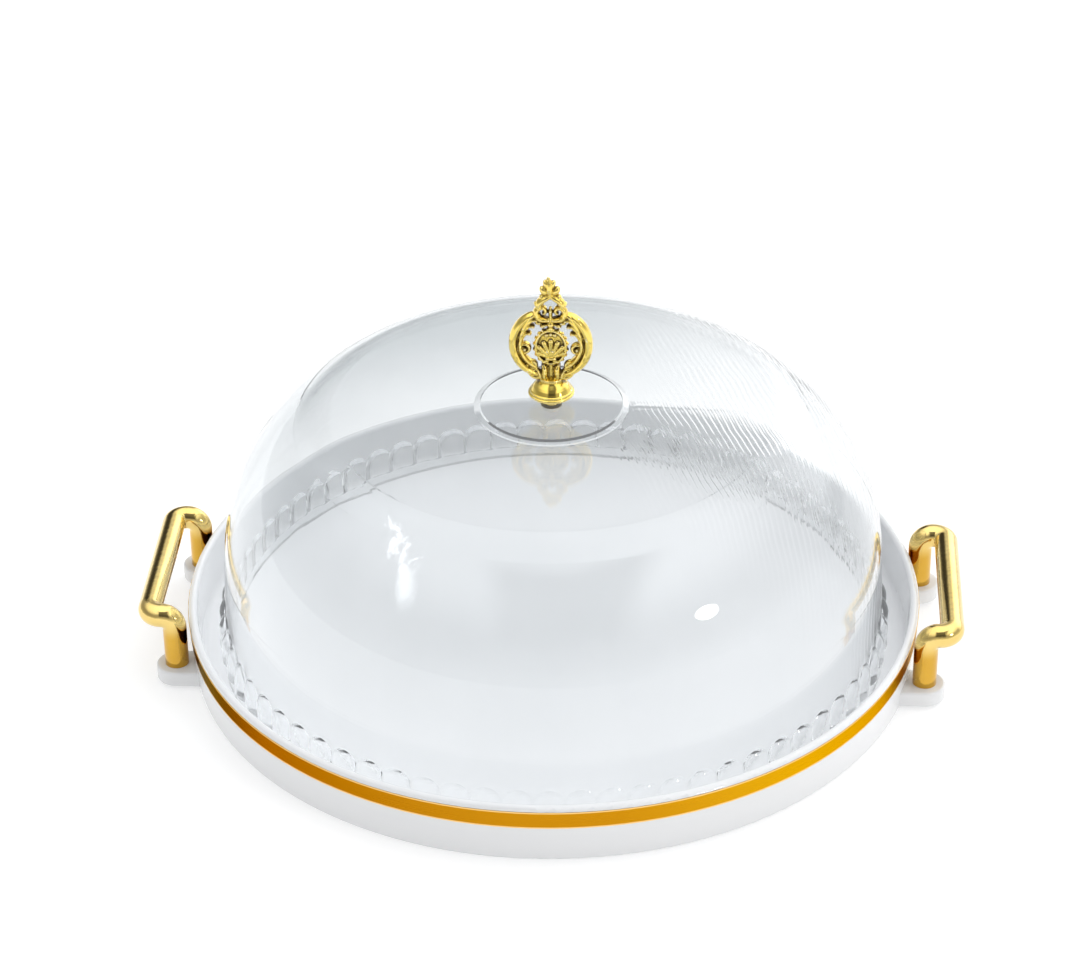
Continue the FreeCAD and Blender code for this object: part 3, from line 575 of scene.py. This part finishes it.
def crest():
    """The beads, the heart-shaped crest with its two volutes, and the leafy bud, which leans left."""
    pieces = [pebble(0, 38.3, (1.75, 2.4, 1.75)), pebble(0, 36.2, (1.2, 1.8, 1.2)), strand(CREST_STEM, 1.7)]
    for side in (1, -1):
        pieces.append(strand(mirrored(side, CREST_VOLUTE), 1.8))
        pieces.append(strand(mirrored(side, CREST_ARM), 1.7))
        for across, up, sizes, lean in CREST_LEAVES:
            pieces.append(pebble(side * across, up, sizes, side * lean))
        for across, up, sizes, lean, left in PETALS:
            pieces.append(pebble(side * across - left, up, sizes, side * lean))
    pieces.append(pebble(-0.3, 55.2, (1.7, 2.5, 4.4), -3))
    pieces.append(pebble(-0.7, 58.7, (1.0, 1.2, 1.9), -5))
    pieces.append(pebble(0, 51.6, (1.9, 2.1, 1.3)))
    return pieces


def carved_knob():
    """All parts of the casting as one closed, softened mesh in place of the plain casting."""
    pieces = [turned_foot(), *calyx(), *shell_frame(), *crest(), *leaf_scroll(1), *leaf_scroll(-1)]
    knob = joined(pieces, "knob_carving")
    knob.data.remesh_voxel_size = KNOB_GRAIN
    bpy.ops.object.voxel_remesh()
    smoothing = knob.modifiers.new("soften", "SMOOTH")
    smoothing.factor = 0.5
    smoothing.iterations = 2
    bpy.ops.object.modifier_apply(modifier=smoothing.name)
    bpy.ops.object.shade_smooth()
    knob.data.materials.clear()
    knob.data.materials.append(NODES["finial_knob"].data.materials[0])
    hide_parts("finial_knob")
    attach(knob, "root")


carved_knob()


# Floor, light and camera

FLOOR_SIZE = 12.0
FLOOR_DROP = 0.3 * MM


def make_floor():
    bpy.ops.mesh.primitive_plane_add(size=FLOOR_SIZE, location=(0, 0, -FLOOR_DROP))
    floor = bpy.context.object
    floor.name = "floor"
    floor.data.materials.append(floor_paper())


LAMP_PLACE = Vector((1.65, -1.02, 0.91))
LAMP_TARGET = Vector((0, 0, 0.05))
LAMP_WIDTH = 0.30
LAMP_HEIGHT = 0.26
LAMP_POWER = 2.4


def make_lamp():
    """The soft round lamp at the right, which the dome mirrors."""
    data = bpy.data.lights.new("lamp", "AREA")
    data.shape = "ELLIPSE"
    data.size = LAMP_WIDTH
    data.size_y = LAMP_HEIGHT
    data.energy = LAMP_POWER
    light = bpy.data.objects.new("lamp", data)
    bpy.context.scene.collection.objects.link(light)
    light.location = LAMP_PLACE
    light.rotation_euler = (LAMP_TARGET - LAMP_PLACE).to_track_quat("-Z", "Y").to_euler()


GAP_DEPTH = 0.88
REAR_BOX_POWER = 1.6
STRIP_POWER = 8.0
STRIP_SOFTNESS = 0.0012


def make_world():
    """White surroundings, brightest overhead and to the right, with two soft dark gaps and a strip. The
    numbers are those of a direction of length 1, and angles in radians to the right of the rear."""
    studio = Surface("studio", studio=True)
    x, y, z = studio.x, studio.y, studio.z
    behind = x.angle_with(y)
    above_horizon = z.step(-0.02, 0.28) * 0.45
    overhead = z.step(0.42, 0.85) * 1.32
    sheet = (0.97 - above_horizon + overhead) * (0.935 + x * 0.22)
    rear_box = (behind.step(0.05, 0.40) * (1 - behind.step(0.8, 1.4)) * z.step(0.05, 0.25)
                * (1 - z.step(0.45, 0.75)))
    rear_gap = behind.window(-0.62, -0.20, 0.12) * z.step(0.0, 0.20) * (1 - z.step(0.50, 0.65))
    in_front = 1 - y.step(-0.15, 0.05)
    camera_gap = x.window(-0.25, 0.44, 0.10) * in_front * z.step(0.22, 0.55) * (1 - z.step(0.90, 0.96))
    inside = Value(studio, studio.node("LightPath").outputs["Transmission Depth"]).step(2.5, 3.5)
    strip = (behind.window(-0.1262, -0.1215, STRIP_SOFTNESS) * z.step(0.500, 0.530)
             * (1 - z.step(0.5605, 0.5625)))
    kept = 1 - rear_gap.larger(camera_gap) * GAP_DEPTH
    light = (sheet + rear_box * REAR_BOX_POWER) * kept + strip * inside * STRIP_POWER
    shade = studio.node("Background", {}, {"Color": (0.97, 0.985, 1.0), "Strength": light}).outputs[0]
    bpy.context.scene.world = studio.finish(shade, "OutputWorld")


# Yaw and pitch are tangents of the angles by which the camera looks past the origin.
CAMERA_DISTANCE = 1.5
CAMERA_ELEVATION = math.radians(34.94)
CAMERA_AZIMUTH = math.radians(3.65)
CAMERA_YAW = -0.00362
CAMERA_PITCH = 0.04655
CAMERA_ROLL = -0.0100
FOCAL_PIXELS = 3376.5
PICTURE_WIDTH = 1080
SENSOR_WIDTH = 36.0


def make_camera():
    """The camera of the photograph, from the fit to the tray's rim and the dome's outline."""
    around = Matrix.Rotation(CAMERA_AZIMUTH, 3, "Z")
    place = around @ Vector((0, -math.cos(CAMERA_ELEVATION), math.sin(CAMERA_ELEVATION))) * CAMERA_DISTANCE
    right = around @ Vector((1, 0, 0))
    forward = -place.normalized()
    up = right.cross(forward)
    look = (forward + CAMERA_YAW * right + CAMERA_PITCH * up).normalized()
    side = look.cross(up).normalized()
    top = side.cross(look)
    level = math.cos(CAMERA_ROLL) * side + math.sin(CAMERA_ROLL) * top
    upright = math.cos(CAMERA_ROLL) * top - math.sin(CAMERA_ROLL) * side
    data = bpy.data.cameras.new("camera")
    data.sensor_fit = "HORIZONTAL"
    data.sensor_width = SENSOR_WIDTH
    data.lens = FOCAL_PIXELS / PICTURE_WIDTH * SENSOR_WIDTH
    data.clip_start = 0.01
    data.clip_end = 50
    camera = bpy.data.objects.new("camera", data)
    bpy.context.scene.collection.objects.link(camera)
    turn = Matrix((level, upright, -look)).transposed()
    camera.matrix_world = Matrix.Translation(place) @ turn.to_4x4()
    bpy.context.scene.camera = camera


make_floor()
make_world()
make_lamp()
make_camera()
bpy.context.scene.view_settings.view_transform = "Standard"
